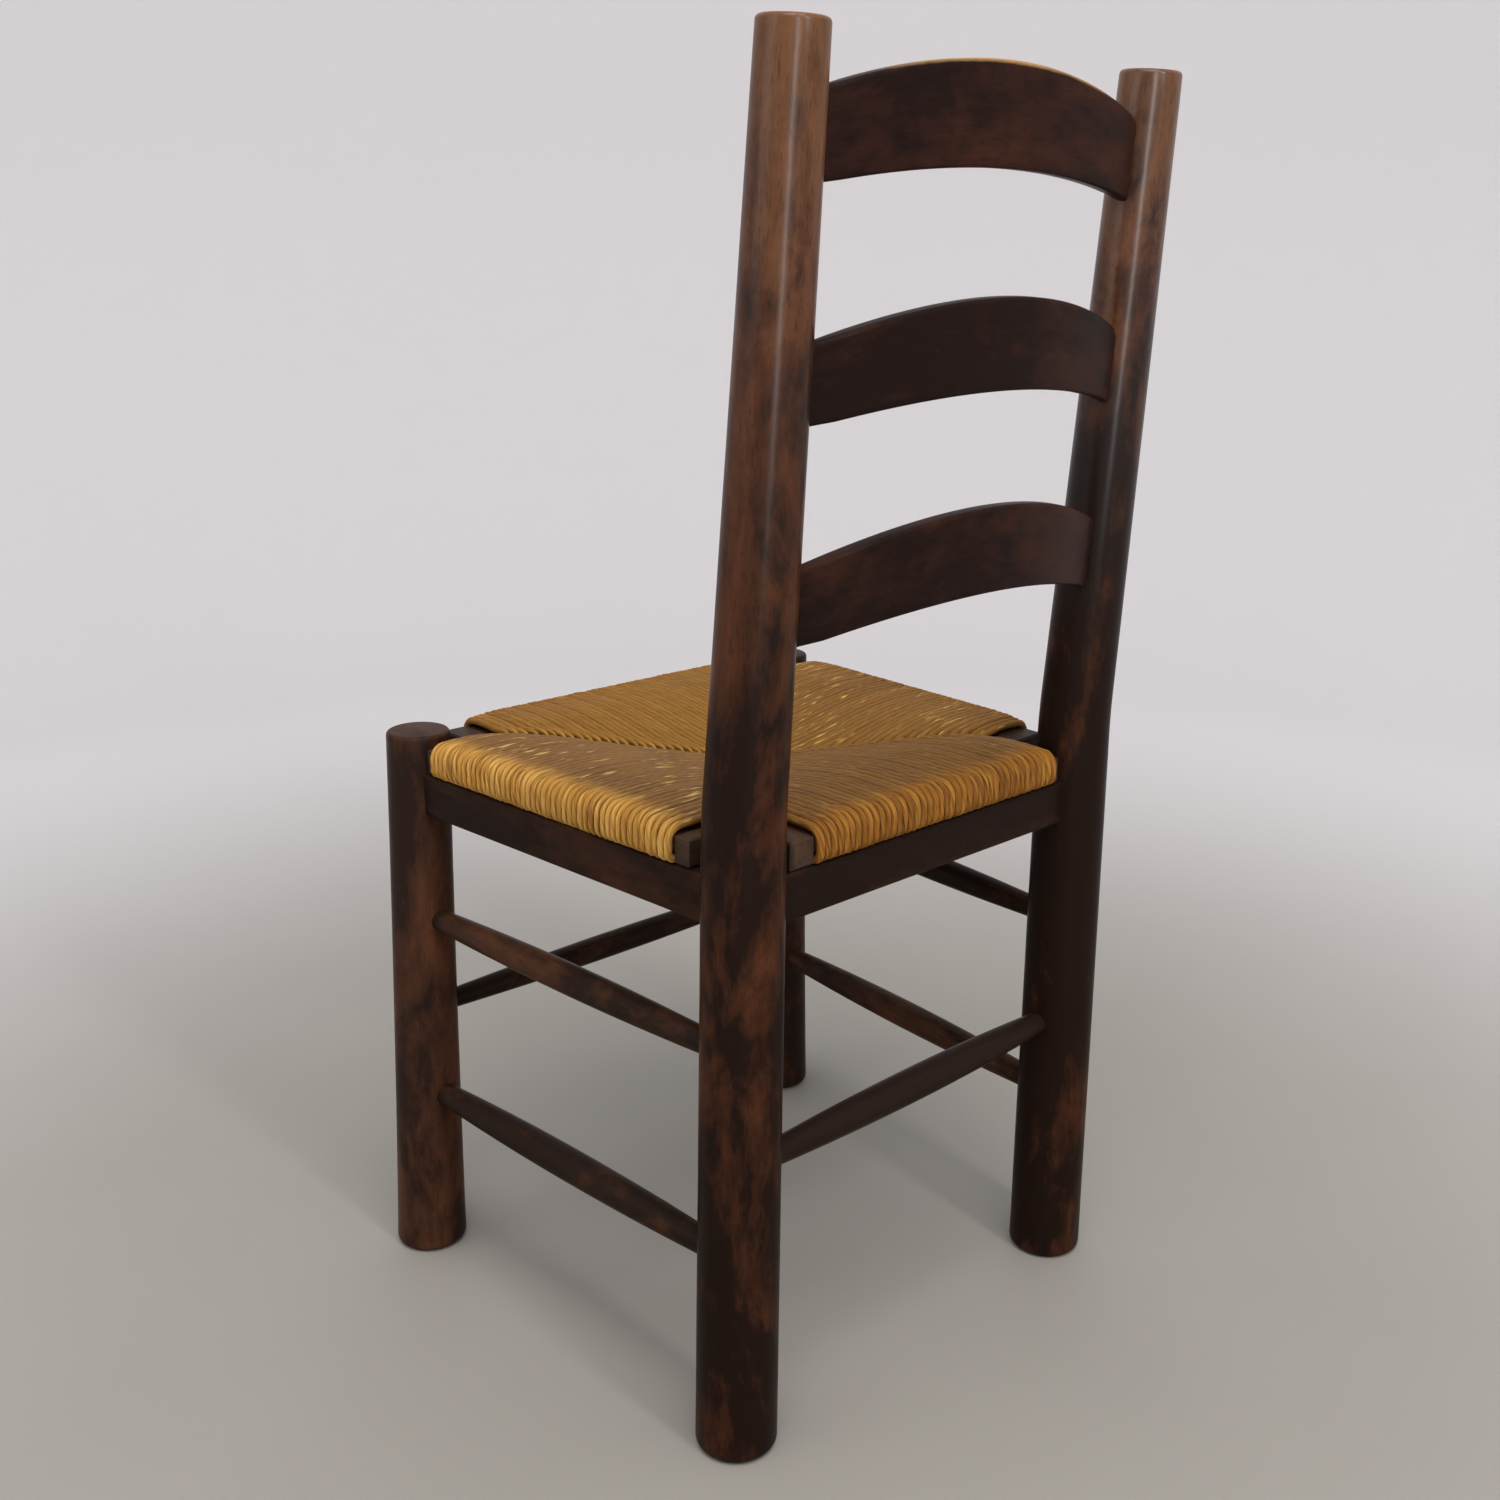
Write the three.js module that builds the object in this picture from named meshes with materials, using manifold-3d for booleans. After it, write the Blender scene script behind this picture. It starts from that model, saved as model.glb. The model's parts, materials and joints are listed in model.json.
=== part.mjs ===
// A ladder-back dining chair with a drop-in rush seat, as a three.js scene.
// Millimetres, +Z up. The front of the chair faces -Y, and left is +X, the sitter's left
// when the sitter looks along -Y. Every turned or sawn piece is a mesh of its own.
import * as THREE from 'three';
import { mergeVertices } from 'three/addons/utils/BufferGeometryUtils.js';
import Module from 'manifold-3d';

const wasm = await Module();
wasm.setup();

// ---------------------------------------------------------------- sizes
// Stance: centres of the four feet on the floor, and how the posts stand.
const CHAIR_HEIGHT = 940;
const REAR_FEET_APART = 362;
const FRONT_FEET_APART = 418;
const FEET_DEPTH = 366;
const REAR_POST_INWARD = 0.0122; // sideways lean per unit of height
const FRONT_LEG_INWARD = 0.0226;
const FRONT_LEG_BACKWARD = 0.0181;

// Rear posts: upright to the bend, then leaning back, thinner towards the top.
const POST_FOOT_RADIUS = 29.7;
const POST_BEND_RADIUS = 27.8; // the wood's radius at the bend
const POST_TOP_RADIUS = 21.3;
const BEND_ABOVE_APRON = 30;
const BEND_CURVE = 500; // radius of the bent centre line
const BACK_LEAN = THREE.MathUtils.degToRad(3.9);

// Front legs.
const LEG_FOOT_RADIUS = 29.5;
const LEG_TOP_RADIUS = 25;
const LEG_ABOVE_APRON = 30;

// Turned ends of posts and legs.
const FOOT_ROUNDING = 6;
const TOP_ROUNDING = 3.2;

// Back slats, sawn to an arch and bent backwards.
const SLAT_THICKNESS = 12;
const SLAT_EDGE = 2.5;
const TOP_SLAT_BELOW_TOP = 41; // post top down to the slat's upper corner
const BOTTOM_SLAT_ABOVE_APRON = 147; // apron top up to the slat's lower corner
const SLATS = [
  { name: 'back_slat_top', end: 48, risesTop: 32.5, risesBottom: 19, bow: 16 },
  { name: 'back_slat_middle', end: 46, risesTop: 36, risesBottom: 24, bow: 33 },
  { name: 'back_slat_bottom', end: 48, risesTop: 40, risesBottom: 30, bow: 36 },
];
const SLAT_TENON_SHORT_OF_AXIS = 6;
const SLAT_PARED_LENGTH = 13; // the back of a slat is pared thin just before its post
const SLAT_PARED_DEPTH = 3.5;

// Aprons under the seat.
const APRON_TOP = 430;
const APRON_HEIGHT = 34;
const APRON_THICKNESS = 22;
const APRON_EDGE = 1.5;
const APRON_HOUSED = 2; // depth that the whole section is let into a post
const APRON_TENON_THICKNESS = 12;
const APRON_TENON_SHOULDER = 5; // above and below the tenon
const APRON_TENON_SHORT_OF_AXIS = 9;

// Turned stretchers: height, radius in the middle and radius of the round tenon.
const UPPER_SIDE_STRETCHER = { height: 304, middle: 11.9, tenon: 8.8 };
const LOWER_SIDE_STRETCHER = { height: 147, middle: 12.8, tenon: 9.4 };
const FRONT_STRETCHER = { height: 218, middle: 11.3, tenon: 8.3 };
const REAR_STRETCHER = { height: 219, middle: 12.7, tenon: 9 };
const STRETCHER_TENON_SHORT_OF_AXIS = 6;

// Drop-in seat: four notched corner blocks, four rails between them, rush over the rails.
const BLOCK_THICKNESS = 21;
const BLOCK_EDGE = 1.5;
const SEAT_EDGE_OUTSIDE_AXES = 10; // seat frame's edge beyond the line of the posts' axes
const SEAT_RAIL_WIDTH = 32;
const SEAT_RAIL_THICKNESS = 14.3;
const SEAT_RAIL_EDGE = 4;
const TONGUE_LENGTH = 6;
const TONGUE_THICKNESS = 7;
const TONGUE_SHOULDER = 4;
const RUSH_OUTSIDE_RAIL = 6;
const RUSH_ABOVE_BLOCK = 8; // the upper layer lies over stuffing
const RUSH_EDGE = 9;
const REAR_NOTCH_GAP = { across: 4, along: 11 }; // block to post
const FRONT_NOTCH_GAP = { across: 4, along: 3 };
// Where the rush stops, from the nearest post's axis: across is along X, along is along Y.
const RUSH_STOPS = {
  rear_left: { across: 54, along: 53 },
  rear_right: { across: 40, along: 59 },
  front_left: { across: 52, along: 38 },
  front_right: { across: 52, along: 38 },
};

// Clearances and fineness.
const GAP = 0.3; // between pieces that touch
const ROUND_SEGMENTS = 32;
const STRETCHER_SEGMENTS = 20;
const SHAFT_STEPS = 10;
const STRETCHER_STEPS = 12;
const SLAT_STEPS = 7; // from the middle of a slat to where it is pared

// ---------------------------------------------------------------- materials
const stain = (color, roughness) => new THREE.MeshStandardMaterial({ color, roughness, metalness: 0 });
const postWood = stain(0x3d2418, 0.42);
const slatWood = stain(0x2c1815, 0.38);
const railWood = stain(0x2f1d16, 0.48);
const blockWood = stain(0x35261f, 0.55);
const rush = stain(0xa8803f, 0.7);

// ---------------------------------------------------------------- solids
// A closed three.js geometry as a manifold solid.
function toSolid(geometry) {
  const bare = geometry.clone();
  bare.deleteAttribute('normal');
  bare.deleteAttribute('uv');
  const merged = mergeVertices(bare, 1e-4);
  const corners = [];
  const index = merged.index.array;
  for (let i = 0; i < index.length; i += 3) {
    const [a, b, c] = [index[i], index[i + 1], index[i + 2]];
    if (a !== b && b !== c && c !== a) corners.push(a, b, c);
  }
  return new wasm.Manifold(new wasm.Mesh({
    numProp: 3,
    vertProperties: new Float32Array(merged.attributes.position.array),
    triVerts: new Uint32Array(corners),
  }));
}

// A manifold solid as a flat-shaded three.js geometry.
function toGeometry(solid) {
  const mesh = solid.getMesh();
  const geometry = new THREE.BufferGeometry();
  geometry.setAttribute('position', new THREE.BufferAttribute(new Float32Array(mesh.vertProperties), 3));
  geometry.setIndex(new THREE.BufferAttribute(new Uint32Array(mesh.triVerts), 1));
  const flat = geometry.toNonIndexed();
  flat.computeVertexNormals();
  return flat;
}

const moved = (solid, matrix) => solid.transform(matrix.elements);

// Moves every vertex of a geometry by a function of its place.
function reshape(geometry, place) {
  const points = geometry.attributes.position;
  const point = new THREE.Vector3();
  for (let i = 0; i < points.count; i += 1) {
    point.fromBufferAttribute(points, i);
    place(point);
    points.setXYZ(i, point.x, point.y, point.z);
  }
  return geometry;
}

// A board along X with eased long edges, cut into steps so that it can be bent.
function board(length, thickness, height, edge, steps = 1) {
  const cornerInset = edge * (1 - Math.SQRT1_2);
  return reshape(new THREE.BoxGeometry(length, thickness, height, steps, 3, 3), (point) => {
    const v = (point.y / thickness) * 6;
    const w = (point.z / height) * 6;
    const onSide = Math.abs(v) > 2;
    const onFace = Math.abs(w) > 2;
    const inset = onSide && onFace ? cornerInset : 0;
    point.y = Math.sign(v) * (thickness / 2 - (onSide ? inset : edge));
    point.z = Math.sign(w) * (height / 2 - (onFace ? inset : edge));
  });
}

// A turned piece along Z: profile points are [radius, height] from the foot up.
function turned(profile, segments) {
  const points = profile.map(([radius, height]) => new THREE.Vector2(radius, height));
  return new THREE.LatheGeometry(points, segments).rotateX(Math.PI / 2);
}

// Quarter round on a turned end, from [radius - rounding] to [radius], or the reverse.
function quarterRound(radius, height, rounding, atTop) {
  const steps = 3;
  const points = [];
  for (let i = 0; i <= steps; i += 1) {
    const angle = (Math.PI / 2) * (i / steps);
    const [run, rise] = atTop ? [Math.cos(angle), Math.sin(angle)] : [Math.sin(angle), Math.cos(angle)];
    points.push([
      radius - rounding + rounding * run,
      atTop ? height - rounding + rounding * rise : height + rounding - rounding * rise,
    ]);
  }
  return points;
}

// A tapering shaft of a given length, whose radius is a function of the height.
function shaft(length, radiusAt) {
  const profile = [[0, 0], ...quarterRound(radiusAt(0), 0, FOOT_ROUNDING, false)];
  for (let i = 1; i < SHAFT_STEPS; i += 1) {
    const height = length * (i / SHAFT_STEPS);
    profile.push([radiusAt(height), height]);
  }
  profile.push(...quarterRound(radiusAt(length), length, TOP_ROUNDING, true), [0, length]);
  return turned(profile, ROUND_SEGMENTS);
}

// ---------------------------------------------------------------- posts and legs
const bendHeight = APRON_TOP + BEND_ABOVE_APRON;
const legHeight = APRON_TOP + LEG_ABOVE_APRON;
const bendLength = BEND_CURVE * BACK_LEAN;
const bendTop = bendHeight + BEND_CURVE * Math.sin(BACK_LEAN);
const postLength = bendHeight + bendLength + (CHAIR_HEIGHT - bendTop) / Math.cos(BACK_LEAN);

// Axis of a rear post or front leg at a height; side is 1 for left and -1 for right.
function rearAxis(side, z) {
  return new THREE.Vector3(side * (REAR_FEET_APART / 2 - REAR_POST_INWARD * z), FEET_DEPTH / 2, z);
}

function frontAxis(side, z) {
  const x = side * (FRONT_FEET_APART / 2 - FRONT_LEG_INWARD * z);
  return new THREE.Vector3(x, -FEET_DEPTH / 2 + FRONT_LEG_BACKWARD * z, z);
}

function postRadius(length) {
  if (length < bendHeight) {
    return THREE.MathUtils.lerp(POST_FOOT_RADIUS, POST_BEND_RADIUS, length / bendHeight);
  }
  const above = (length - bendHeight) / (postLength - bendHeight);
  return THREE.MathUtils.lerp(POST_BEND_RADIUS, POST_TOP_RADIUS, above);
}

function legRadius(length) {
  const fromTop = 1 - Math.min(1, length / legHeight);
  return LEG_TOP_RADIUS + (LEG_FOOT_RADIUS - LEG_TOP_RADIUS) * fromTop ** 2;
}

// Bends a point of a straight post: upright, then an arc, then straight and leaning back.
function bendBack(point) {
  const angle = THREE.MathUtils.clamp((point.z - bendHeight) / BEND_CURVE, 0, BACK_LEAN);
  const beyond = Math.max(0, point.z - bendHeight - bendLength);
  if (point.z > bendHeight) {
    const reach = BEND_CURVE - point.y;
    point.y = BEND_CURVE - reach * Math.cos(angle) + beyond * Math.sin(angle);
    point.z = bendHeight + reach * Math.sin(angle) + beyond * Math.cos(angle);
  }
}

function rearPost(side) {
  return reshape(shaft(postLength, postRadius), (point) => {
    bendBack(point);
    point.x -= side * REAR_POST_INWARD * point.z;
  });
}

function frontLeg(side) {
  return reshape(shaft(legHeight, legRadius), (point) => {
    point.x -= side * FRONT_LEG_INWARD * point.z;
    point.y += FRONT_LEG_BACKWARD * point.z;
  });
}

// ---------------------------------------------------------------- pieces let into the posts
// Centre and radius of each post or leg at a height.
const uprights = {
  rear_left: (z) => ({ centre: rearAxis(1, z), radius: postRadius(z) }),
  rear_right: (z) => ({ centre: rearAxis(-1, z), radius: postRadius(z) }),
  front_left: (z) => ({ centre: frontAxis(1, z), radius: legRadius(z) }),
  front_right: (z) => ({ centre: frontAxis(-1, z), radius: legRadius(z) }),
};

// Length and place of a piece that spans from one upright's centre to another's, along X.
function spanBetween(start, end) {
  const along = new THREE.Vector3().subVectors(end.centre, start.centre);
  const middle = new THREE.Vector3().addVectors(start.centre, end.centre).multiplyScalar(0.5);
  const matrix = new THREE.Matrix4().makeRotationZ(Math.atan2(along.y, along.x)).setPosition(middle);
  return { length: along.length(), matrix };
}

// Each piece let in is { solid, cutter, matrix }: the piece, the piece grown by the gap, its place.
const letIn = (make, matrix) => ({ solid: make(0), cutter: make(GAP), matrix });

function apron(start, end) {
  const { length, matrix } = spanBetween(start, end);
  const half = APRON_THICKNESS / 2;
  const housed = ({ radius }) => Math.sqrt(radius ** 2 - half ** 2) - APRON_HOUSED;
  return letIn((grow) => {
    const from = -length / 2 + housed(start) - grow;
    const to = length / 2 - housed(end) + grow;
    const body = board(to - from, APRON_THICKNESS + 2 * grow, APRON_HEIGHT + 2 * grow, APRON_EDGE)
      .translate((from + to) / 2, 0, 0);
    const tenon = new THREE.BoxGeometry(
      length - 2 * APRON_TENON_SHORT_OF_AXIS + 2 * grow,
      APRON_TENON_THICKNESS + 2 * grow,
      APRON_HEIGHT - 2 * APRON_TENON_SHOULDER + 2 * grow,
    );
    return toSolid(body).add(toSolid(tenon));
  }, matrix);
}

// Swells towards the middle; its plain round ends start at the posts' surface.
function stretcher(start, end, middleRadius, tenonRadius) {
  const { length, matrix } = spanBetween(start, end);
  const reach = length / 2 - STRETCHER_TENON_SHORT_OF_AXIS;
  const swelling = length / 2 - Math.min(start.radius, end.radius);
  return letIn((grow) => {
    const profile = [[0, -reach - grow], [tenonRadius + grow, -reach - grow]];
    for (let i = 0; i <= STRETCHER_STEPS; i += 1) {
      const along = -1 + (2 * i) / STRETCHER_STEPS;
      const radius = middleRadius - (middleRadius - tenonRadius) * along ** 2;
      profile.push([radius + grow, along * swelling]);
    }
    profile.push([tenonRadius + grow, reach + grow], [0, reach + grow]);
    return toSolid(turned(profile, STRETCHER_SEGMENTS).rotateY(Math.PI / 2));
  }, matrix);
}

// Stands in the plane of the leaning posts; its local z = 0 is its lower corner.
function slat(size, lowerCorner) {
  const { centre, radius } = uprights.rear_left(lowerCorner + size.end / 2);
  const halfSpan = centre.x;
  const shoulder = halfSpan - radius;
  const paredFrom = shoulder - SLAT_PARED_LENGTH;
  const behind = (lowerCorner - bendHeight) * Math.tan(BACK_LEAN);
  const matrix = new THREE.Matrix4().makeRotationX(-BACK_LEAN);
  matrix.setPosition(0, FEET_DEPTH / 2 + behind, lowerCorner);
  return letIn((grow) => {
    // Distance of each cross-section from the middle; the last is the end of the tenon.
    const runs = Array.from({ length: SLAT_STEPS + 1 }, (_, i) => paredFrom * (i / SLAT_STEPS));
    runs.push(shoulder, halfSpan - SLAT_TENON_SHORT_OF_AXIS + grow);
    const steps = 2 * (runs.length - 1);
    const flat = board(steps, SLAT_THICKNESS + 2 * grow, 2, (2 * SLAT_EDGE) / size.end, steps);
    return toSolid(reshape(flat, (point) => {
      const step = Math.round(Math.abs(point.x));
      if (step > SLAT_STEPS && point.y > 0) point.y -= SLAT_PARED_DEPTH;
      point.x = Math.sign(point.x) * runs[step];
      const arch = 1 - (point.x / halfSpan) ** 2;
      const lower = size.risesBottom * arch - grow;
      const upper = size.end + size.risesTop * arch + grow;
      point.z = THREE.MathUtils.lerp(lower, upper, (point.z + 1) / 2);
      point.y += size.bow * arch;
    }));
  }, matrix);
}

const apronMiddle = APRON_TOP - APRON_HEIGHT / 2;
const bottomSlatCorner = APRON_TOP + BOTTOM_SLAT_ABOVE_APRON;
const topSlatCorner = CHAIR_HEIGHT - TOP_SLAT_BELOW_TOP - SLATS[0].end;
const slatCorners = [topSlatCorner, (topSlatCorner + bottomSlatCorner) / 2, bottomSlatCorner];

const crossPieces = [];
for (const [word, from, to] of [
  ['left', 'front_left', 'rear_left'],
  ['right', 'front_right', 'rear_right'],
  ['front', 'front_right', 'front_left'],
  ['rear', 'rear_right', 'rear_left'],
]) {
  const made = apron(uprights[from](apronMiddle), uprights[to](apronMiddle));
  crossPieces.push({ name: `apron_${word}`, material: railWood, ...made });
}
for (const [word, from, to, { height, middle, tenon }] of [
  ['left_upper', 'front_left', 'rear_left', UPPER_SIDE_STRETCHER],
  ['left_lower', 'front_left', 'rear_left', LOWER_SIDE_STRETCHER],
  ['right_upper', 'front_right', 'rear_right', UPPER_SIDE_STRETCHER],
  ['right_lower', 'front_right', 'rear_right', LOWER_SIDE_STRETCHER],
  ['front', 'front_right', 'front_left', FRONT_STRETCHER],
  ['rear', 'rear_right', 'rear_left', REAR_STRETCHER],
]) {
  const made = stretcher(uprights[from](height), uprights[to](height), middle, tenon);
  crossPieces.push({ name: `stretcher_${word}`, material: railWood, ...made });
}
SLATS.forEach((size, i) => {
  crossPieces.push({ name: size.name, material: slatWood, ...slat(size, slatCorners[i]) });
});

// ---------------------------------------------------------------- drop-in seat
const seatBase = APRON_TOP + GAP;
const blockTop = seatBase + BLOCK_THICKNESS;
const railBase = blockTop - SEAT_RAIL_THICKNESS;
const rushTop = blockTop + RUSH_ABOVE_BLOCK;
const seatRear = rearAxis(1, seatBase);
const seatFront = frontAxis(1, seatBase);
const sideSlope = (seatRear.x - seatFront.x) / (seatRear.y - seatFront.y);
const sideAxisX = (y) => seatFront.x + sideSlope * (y - seatFront.y);
const seatRearEdge = seatRear.y + SEAT_EDGE_OUTSIDE_AXES;
const seatFrontEdge = seatFront.y - SEAT_EDGE_OUTSIDE_AXES;
const seatSideEdge = (y) => sideAxisX(y) + SEAT_EDGE_OUTSIDE_AXES;

// Corners of the seat: where the rush stops and where the block is notched for its post.
const corners = {};
for (const [end, axis, radius, gap, edge, inward] of [
  ['rear', seatRear, postRadius(seatBase), REAR_NOTCH_GAP, seatRearEdge, -1],
  ['front', seatFront, legRadius(seatBase), FRONT_NOTCH_GAP, seatFrontEdge, 1],
]) {
  for (const [side, word] of [[1, 'left'], [-1, 'right']]) {
    const stop = RUSH_STOPS[`${end}_${word}`];
    corners[`${end}_${word}`] = {
      side,
      edge,
      inward,
      stopX: axis.x - stop.across,
      stopY: axis.y + inward * stop.along,
      notchX: axis.x - radius - gap.across,
      notchY: axis.y + inward * (radius + gap.along),
    };
  }
}

function slab(outline, base, thickness, bevel, bevelSegments = 1) {
  const shape = new THREE.Shape(outline.map(([x, y]) => new THREE.Vector2(x, y)));
  return new THREE.ExtrudeGeometry(shape, {
    depth: thickness - 2 * bevel,
    bevelEnabled: true,
    bevelSize: bevel,
    bevelThickness: bevel,
    bevelOffset: -bevel,
    bevelSegments,
  }).translate(0, 0, base + bevel);
}

// A rail between two corner blocks, with a tongue into each; its ends stay along X or Y
// while its length follows the slope of the seat's side.
function seatRail(span, centreX, centreY, turnedBy, slope) {
  const place = new THREE.Matrix4().makeShear(0, 0, slope, 0, 0, 0);
  place.multiply(new THREE.Matrix4().makeRotationZ(turnedBy));
  const matrix = new THREE.Matrix4().setPosition(centreX, centreY, railBase + SEAT_RAIL_THICKNESS / 2);
  return letIn((grow) => {
    const length = span - 2 * GAP + 2 * grow;
    const width = SEAT_RAIL_WIDTH + 2 * grow;
    const body = board(length, width, SEAT_RAIL_THICKNESS + 2 * grow, SEAT_RAIL_EDGE);
    const tongue = new THREE.BoxGeometry(
      span + 2 * TONGUE_LENGTH + 2 * grow,
      width - 2 * TONGUE_SHOULDER,
      TONGUE_THICKNESS + 2 * grow,
    );
    return moved(toSolid(body).add(toSolid(tongue)), place);
  }, matrix);
}

const seatRails = [];
for (const [word, edge, inward] of [['front', seatFrontEdge, 1], ['rear', seatRearEdge, -1]]) {
  const from = -corners[`${word}_right`].stopX;
  const to = corners[`${word}_left`].stopX;
  const y = edge + (inward * SEAT_RAIL_WIDTH) / 2;
  seatRails.push({ name: `seat_rail_${word}`, ...seatRail(to - from, (from + to) / 2, y, 0, 0) });
}
for (const [word, side] of [['left', 1], ['right', -1]]) {
  const from = corners[`front_${word}`].stopY;
  const to = corners[`rear_${word}`].stopY;
  const y = (from + to) / 2;
  const x = side * (seatSideEdge(y) - SEAT_RAIL_WIDTH / 2);
  const made = seatRail(to - from, x, y, Math.PI / 2, side * sideSlope);
  seatRails.push({ name: `seat_rail_${word}`, ...made });
}

// Flat block with a square notch for the post, and slots for the tongues of its two rails.
function seatBlock({ side, edge, stopX, stopY, notchX, notchY }) {
  const outline = [
    [stopX, edge],
    [notchX, edge],
    [notchX, notchY],
    [seatSideEdge(notchY), notchY],
    [seatSideEdge(stopY), stopY],
    [stopX, stopY],
  ].map(([x, y]) => [side * x, y]);
  const block = toSolid(slab(outline, seatBase, BLOCK_THICKNESS, BLOCK_EDGE));
  return seatRails.reduce((solid, rail) => solid.subtract(moved(rail.cutter, rail.matrix)), block);
}

// The rush as one plain pad: rounded edges, open corners, and tunnels for the seat's rails.
function rushPad() {
  const front = seatFrontEdge - RUSH_OUTSIDE_RAIL;
  const rear = seatRearEdge + RUSH_OUTSIDE_RAIL;
  const sideOf = (y) => seatSideEdge(y) + RUSH_OUTSIDE_RAIL;
  const outline = [
    [-sideOf(front), front],
    [sideOf(front), front],
    [sideOf(rear), rear],
    [-sideOf(rear), rear],
  ];
  const thickness = rushTop - seatBase;
  let pad = toSolid(slab(outline, seatBase, thickness, RUSH_EDGE, 4));
  for (const { side, inward, stopX, stopY } of Object.values(corners)) {
    const reach = 2 * Math.abs(sideOf(front) - stopX);
    const opening = new THREE.BoxGeometry(reach, 2 * reach, 2 * thickness).translate(
      side * (stopX - GAP + reach / 2),
      stopY + inward * (GAP - reach),
      seatBase + thickness / 2,
    );
    pad = pad.subtract(toSolid(opening));
  }
  return seatRails.reduce((solid, rail) => solid.subtract(moved(rail.cutter, rail.matrix)), pad);
}

// ---------------------------------------------------------------- assembly
function piece(name, solid, material) {
  const mesh = new THREE.Mesh(toGeometry(solid), material);
  mesh.name = name;
  return mesh;
}

const frame = new THREE.Group();
for (const [word, side] of [['left', 1], ['right', -1]]) {
  for (const [end, geometry, foot] of [
    ['rear_post', rearPost(side), rearAxis(side, 0)],
    ['front_leg', frontLeg(side), frontAxis(side, 0)],
  ]) {
    const toFoot = new THREE.Matrix4().makeTranslation(-foot.x, -foot.y, 0);
    let solid = toSolid(geometry);
    for (const { cutter, matrix } of crossPieces) {
      solid = solid.subtract(moved(cutter, toFoot.clone().multiply(matrix)));
    }
    const mesh = piece(`${end}_${word}`, solid, postWood);
    mesh.position.copy(foot);
    frame.add(mesh);
  }
}
for (const { name, solid, material, matrix } of crossPieces) {
  const mesh = piece(name, solid, material);
  matrix.decompose(mesh.position, mesh.quaternion, mesh.scale);
  frame.add(mesh);
}

const seat = new THREE.Group();
for (const { name, solid, matrix } of seatRails) {
  const mesh = piece(name, solid, railWood);
  mesh.position.setFromMatrixPosition(matrix);
  seat.add(mesh);
}
for (const [word, corner] of Object.entries(corners)) {
  seat.add(piece(`seat_block_${word}`, seatBlock(corner), blockWood));
}
seat.add(piece('rush_weave', rushPad(), rush));

// The origin is under the middle of the chair's outer box.
const chair = new THREE.Group();
chair.add(frame, seat);
chair.updateMatrixWorld(true);
const box = new THREE.Box3().setFromObject(chair, true);
chair.position.set(0, -(box.min.y + box.max.y) / 2, 0);

const group = new THREE.Group();
group.add(chair);

export default group;
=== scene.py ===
import json
import math
import random

import bmesh
import bpy
from mathutils import Matrix, Vector, noise


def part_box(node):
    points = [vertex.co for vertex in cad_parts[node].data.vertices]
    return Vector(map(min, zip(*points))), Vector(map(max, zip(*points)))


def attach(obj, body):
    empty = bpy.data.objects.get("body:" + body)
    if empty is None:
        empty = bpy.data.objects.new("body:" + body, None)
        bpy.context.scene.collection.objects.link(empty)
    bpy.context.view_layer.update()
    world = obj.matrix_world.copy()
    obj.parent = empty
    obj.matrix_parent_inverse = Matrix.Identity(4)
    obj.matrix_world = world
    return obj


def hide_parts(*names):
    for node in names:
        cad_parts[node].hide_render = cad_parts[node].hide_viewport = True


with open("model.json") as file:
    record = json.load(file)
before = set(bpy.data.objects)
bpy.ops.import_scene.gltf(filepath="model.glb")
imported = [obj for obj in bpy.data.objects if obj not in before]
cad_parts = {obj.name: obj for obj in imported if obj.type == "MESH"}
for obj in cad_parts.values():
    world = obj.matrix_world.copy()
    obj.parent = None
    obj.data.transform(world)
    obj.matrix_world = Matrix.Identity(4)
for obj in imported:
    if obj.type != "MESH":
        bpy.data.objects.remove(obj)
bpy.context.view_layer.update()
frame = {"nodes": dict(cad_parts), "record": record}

scene = bpy.context.scene

# ------------------------------------------------------------------ camera
# Standing height behind the chair's left rear corner, looking down at the seat
# and along the back, so that the near rear post crosses the middle of the view.
camera = bpy.data.objects.new("camera", bpy.data.cameras.new("camera"))
camera.data.lens = 37.55
camera.data.sensor_width = 36
camera_right = Vector((-0.73610, 0.67686, 0.00418))
camera_up = Vector((-0.19352, -0.21636, 0.95694))
camera_back = Vector((0.64862, 0.70359, 0.29025))
camera.rotation_mode = "QUATERNION"
camera.rotation_quaternion = Matrix((camera_right, camera_up, camera_back)).transposed().to_quaternion()
camera.location = (0.8122, 0.86315, 0.8052)
scene.collection.objects.link(camera)
scene.camera = camera

# ------------------------------------------------------------------ floor and light
# A pale painted floor that sweeps up into a pale wall all round. A wide soft lamp hangs
# overhead, a narrower one lights the chair's back, a tall strip gives nothing but the long
# shine on the varnished posts, and a weak lamp fills the shadows.
FLOOR_RADIUS = 2.0
SWEEP_RADIUS = 1.2
SWEEP_STEPS = 12
WALL_HEIGHT = 2.4
FLOOR_SEGMENTS = 96
SHADED_RADIUS = 0.45
PALE_RADIUS = 1.9
FLOOR_TONES = ((0.25, 0.232, 0.204, 1), (0.32, 0.298, 0.268, 1))
WALL_TONE = (0.68, 0.655, 0.66, 1)
MERGE_DISTANCE = 1e-6


def link(bm, name, smooth=True):
    """A finished bmesh as an object at the origin."""
    bmesh.ops.remove_doubles(bm, verts=bm.verts, dist=MERGE_DISTANCE)
    bmesh.ops.recalc_face_normals(bm, faces=bm.faces)
    for face in bm.faces:
        face.smooth = smooth
    mesh = bpy.data.meshes.new(name)
    bm.to_mesh(mesh)
    bm.free()
    made = bpy.data.objects.new(name, mesh)
    scene.collection.objects.link(made)
    return made


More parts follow.
